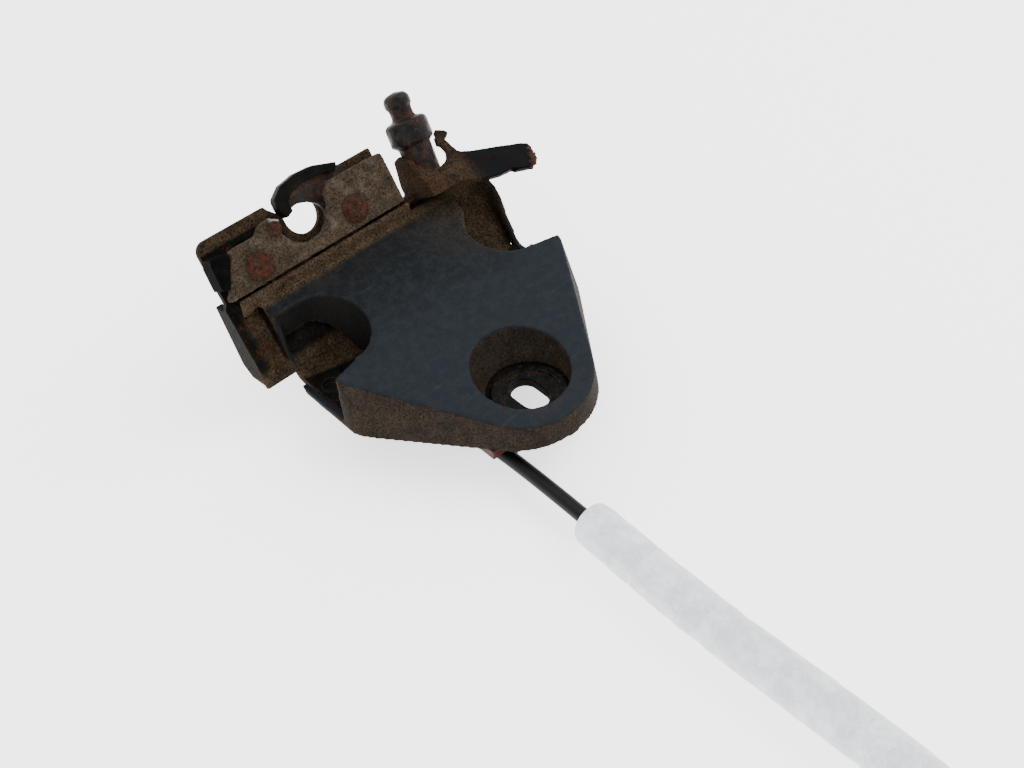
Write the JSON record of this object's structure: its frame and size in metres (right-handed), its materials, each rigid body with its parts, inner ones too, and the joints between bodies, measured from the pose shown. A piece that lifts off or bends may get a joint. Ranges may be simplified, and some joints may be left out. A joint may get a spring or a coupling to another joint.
{
  "type": "car door lock",
  "caption": "Door lock with a claw latch on a bent steel plate, a striker guide pin beside it, a dusty plastic cover and a foam-sleeved release cable.",
  "frame": {"origin": "midway between the two side fixing holes, on the underside of the mounting plate", "axes": "+Z out of the plate through the cover, +Y from the single slotted hole at the tip towards the latch head, +X to the guide pin's side"},
  "size_m": [0.123, 0.3566, 0.0765],
  "materials": {
    "painted_steel": "worn black paint under brown dust",
    "bare_steel": "dull, worn",
    "rusty_steel": "rusty",
    "cover_plastic": "matte, scuffed and dusty",
    "overmould": "matte",
    "red_plastic": "matte",
    "conduit_plastic": "satin",
    "foam": "soft white foam, slightly soiled"
  },
  "bodies": {
    "frame": {"mounting_plate": "painted_steel", "latch_front_plate": "painted_steel", "latch_liner": "cover_plastic", "claw_pivot_rivet": "rusty_steel", "pawl_pivot_rivet": "rusty_steel", "claw_spring": "bare_steel", "pawl_spring": "bare_steel", "cover": "cover_plastic", "slot_washer": "painted_steel", "locating_pin": "rusty_steel", "pin_bracket": "painted_steel", "bracket_rivets": "rusty_steel", "back_housing": "cover_plastic", "housing_screws": "bare_steel", "cable_bracket": "painted_steel", "conduit_ferrule": "overmould", "cable_clip": "red_plastic", "cable_conduit": "conduit_plastic", "foam_sleeve": "foam", "far_ferrule": "overmould"},
    "claw": {"claw": "bare_steel", "claw_overmould": "overmould"},
    "pawl": {"pawl": "bare_steel", "pawl_stud": "bare_steel"},
    "cable": {"cable_core": "bare_steel", "core_nipple": "bare_steel"},
    "cable_far_end": {"far_core": "bare_steel", "far_nipple": "bare_steel"}
  },
  "joints": [
    {"name": "claw_turn", "type": "hinge", "parent": "frame", "child": "claw", "pos_m": [-0.0048, 0.03252, 0.03671], "axis": [0, 0.8231, -0.5678], "range_deg": [0, 58]},
    {"name": "pawl_turn", "type": "hinge", "parent": "frame", "child": "pawl", "pos_m": [-0.0445, 0.03218, 0.03622], "axis": [0, 0.8231, -0.5678], "range_deg": [0, 17.4]},
    {"name": "cable_pull", "type": "slide", "parent": "frame", "child": "cable", "axis": [0, -0.5678, -0.8231], "range_m": [0, 0.00483]},
    {"name": "cable_far_pull", "type": "slide", "parent": "frame", "child": "cable_far_end", "axis": [0.0167, -0.9999, 0], "range_m": [0, 0.00483]}
  ],
  "couplings": [
    {"joint": "pawl_turn", "follows": "claw_turn", "ratio": 0.3},
    {"joint": "cable_pull", "follows": "claw_turn", "m_per_rad": 0.0047763},
    {"joint": "cable_far_pull", "follows": "claw_turn", "m_per_rad": 0.0047763}
  ]
}
